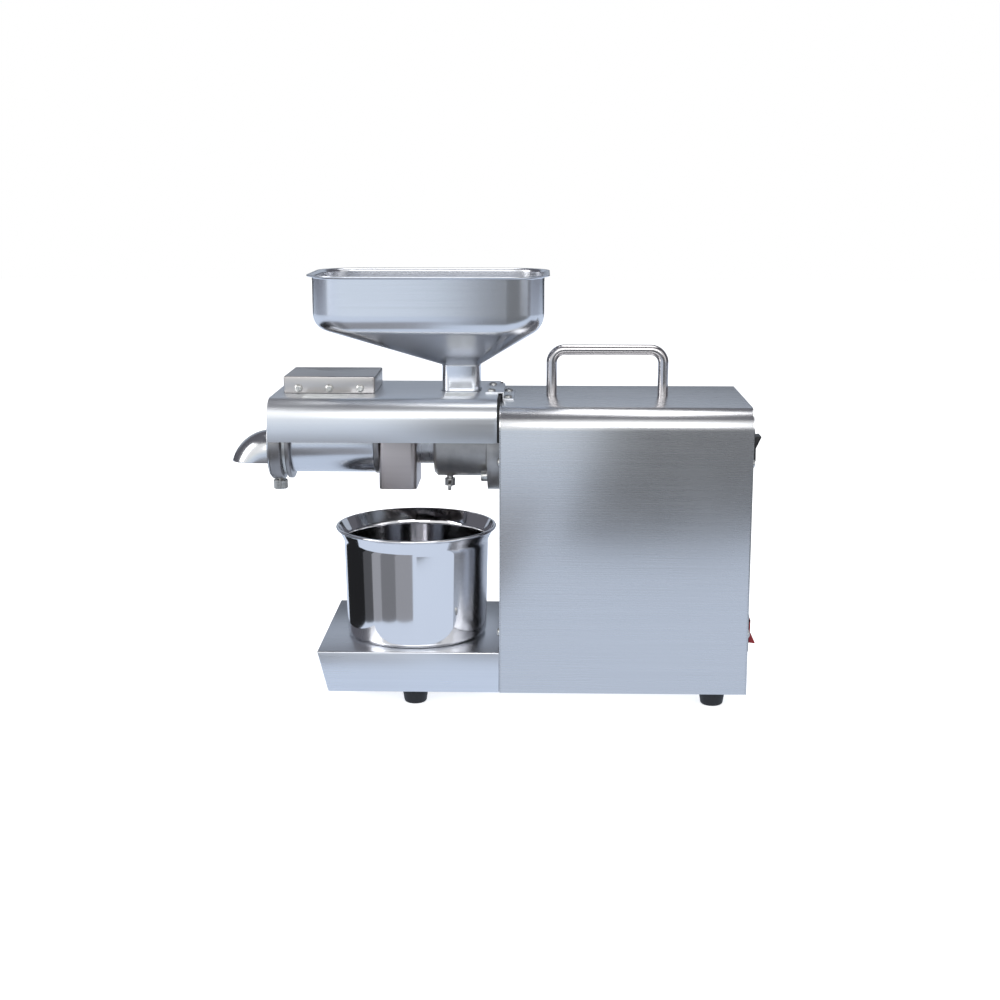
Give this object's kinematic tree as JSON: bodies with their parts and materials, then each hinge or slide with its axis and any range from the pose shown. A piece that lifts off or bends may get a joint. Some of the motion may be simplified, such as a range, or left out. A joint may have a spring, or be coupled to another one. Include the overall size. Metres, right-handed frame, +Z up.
{
  "type": "screw oil press",
  "caption": "Table-top screw oil press: steel cabinet with a carrying handle, a heated barrel under a cover, a hopper, a spout and a cup on a tray.",
  "frame": {"origin": "centre of the bounding box's footprint, on the floor", "axes": "+Z up; +X from the spout to the cabinet's switch panel; the front faces -Y"},
  "size_m": [0.4991, 0.1882, 0.3995],
  "materials": {
    "brushed_steel_sheet": "satin",
    "cabinet_sheet": "satin",
    "polished_steel": "polished",
    "satin_steel": "satin",
    "turned_steel": "satin",
    "zinc_steel": "satin",
    "cast_steel": "matt",
    "bare_casting": "matt",
    "black_rubber": "matt",
    "gasket_rubber": "matt",
    "black_plastic": "matt",
    "red_plastic": "gloss",
    "heater_mica": "matt",
    "copper_windings": "satin",
    "capacitor_can": "satin",
    "brass": "satin"
  },
  "bodies": {
    "press": {"base_pan": "cabinet_sheet", "wrap_cover": "cabinet_sheet", "front_end_plate": "cabinet_sheet", "rear_end_plate": "cabinet_sheet", "foot_tray_front": "black_rubber", "foot_tray_rear": "black_rubber", "foot_cabinet_front": "black_rubber", "foot_cabinet_rear": "black_rubber", "cabinet_screws": "zinc_steel", "carry_handle": "polished_steel", "barrel_cover": "brushed_steel_sheet", "cover_gasket": "gasket_rubber", "terminal_box": "brushed_steel_sheet", "joint_bracket": "satin_steel", "cover_screws": "zinc_steel", "feed_neck": "cast_steel", "neck_bolts": "zinc_steel", "cup_tray": "brushed_steel_sheet", "gearbox_case": "bare_casting", "gearbox_lid": "bare_casting", "gearbox_bolts": "zinc_steel", "gearbox_bearings": "turned_steel", "motor_bearings": "turned_steel", "motor_bells": "bare_casting", "motor_case": "bare_casting", "stator_core": "copper_windings", "motor_cradle": "cabinet_sheet", "run_capacitor": "capacitor_can", "capacitor_clip": "satin_steel", "direction_switch": "black_plastic", "power_switch": "black_plastic", "power_inlet": "black_plastic", "inlet_pins": "brass"},
    "rotor": {"motor_shaft": "turned_steel", "rotor_core": "turned_steel", "cooling_fan": "black_plastic"},
    "first_countershaft": {"first_shaft": "turned_steel", "first_gear": "turned_steel"},
    "second_countershaft": {"second_shaft": "turned_steel", "second_gear": "turned_steel"},
    "screw": {"press_screw": "turned_steel", "output_shaft": "turned_steel", "output_gear": "turned_steel"},
    "barrel": {"chamber_tube": "turned_steel", "oil_outlet_box": "satin_steel", "jacket_stop_ring": "turned_steel", "band_heater": "heater_mica", "heater_jacket": "satin_steel", "jacket_end_ring": "turned_steel", "spacer_ring": "turned_steel", "die_ring": "turned_steel"},
    "spout": {"spout_collar": "turned_steel", "spout": "polished_steel"},
    "spout_clamp": {"spout_screw": "zinc_steel"},
    "barrel_clamp": {"wing_bolt": "zinc_steel"},
    "hopper": {"hopper": "brushed_steel_sheet"},
    "cup": {"oil_cup": "polished_steel"},
    "direction_rocker": {"direction_rocker": "black_plastic"},
    "power_rocker": {"power_rocker": "red_plastic"}
  },
  "joints": [
    {"name": "motor_spin", "type": "hinge", "parent": "press", "child": "rotor", "pos_m": [0, 0, 0.12775], "axis": [1, 0, 0], "continuous": true},
    {"name": "first_spin", "type": "hinge", "parent": "press", "child": "first_countershaft", "pos_m": [0, 0, 0.15775], "axis": [1, 0, 0], "continuous": true},
    {"name": "second_spin", "type": "hinge", "parent": "press", "child": "second_countershaft", "pos_m": [0, 0, 0.19525], "axis": [1, 0, 0], "continuous": true},
    {"name": "screw_spin", "type": "hinge", "parent": "press", "child": "screw", "pos_m": [0, 0, 0.238], "axis": [1, 0, 0], "continuous": true},
    {"name": "barrel_draw", "type": "slide", "parent": "press", "child": "barrel", "axis": [-1, 0, 0], "range_m": [0, 0.22]},
    {"name": "spout_swivel", "type": "hinge", "parent": "barrel", "child": "spout", "pos_m": [0, 0, 0.238], "axis": [1, 0, 0], "range_deg": [-90, 90]},
    {"name": "spout_screw_turn", "type": "hinge", "parent": "spout", "child": "spout_clamp", "pos_m": [-0.20398, 0, 0.201], "axis": [0, 0, 1], "range_deg": [0, 720]},
    {"name": "wing_bolt_turn", "type": "hinge", "parent": "press", "child": "barrel_clamp", "pos_m": [-0.03923, 0, 0.205], "axis": [0, 0, 1], "range_deg": [0, 720]},
    {"name": "hopper_lift", "type": "slide", "parent": "press", "child": "hopper", "axis": [0, 0, 1], "range_m": [0, 0.12]},
    {"name": "cup_slide", "type": "slide", "parent": "press", "child": "cup", "axis": [0, -1, 0], "range_m": [0, 0.2]},
    {"name": "direction_rock", "type": "hinge", "parent": "press", "child": "direction_rocker", "pos_m": [0.24177, -0.068, 0.2455], "axis": [0, -1, 0], "range_deg": [0, 24]},
    {"name": "power_rock", "type": "hinge", "parent": "press", "child": "power_rocker", "pos_m": [0.24177, -0.068, 0.071], "axis": [0, 1, 0], "range_deg": [0, 24]}
  ],
  "couplings": [
    {"joint": "first_spin", "follows": "motor_spin", "ratio": -0.25},
    {"joint": "second_spin", "follows": "motor_spin", "ratio": 0.0625},
    {"joint": "screw_spin", "follows": "motor_spin", "ratio": -0.016667}
  ]
}
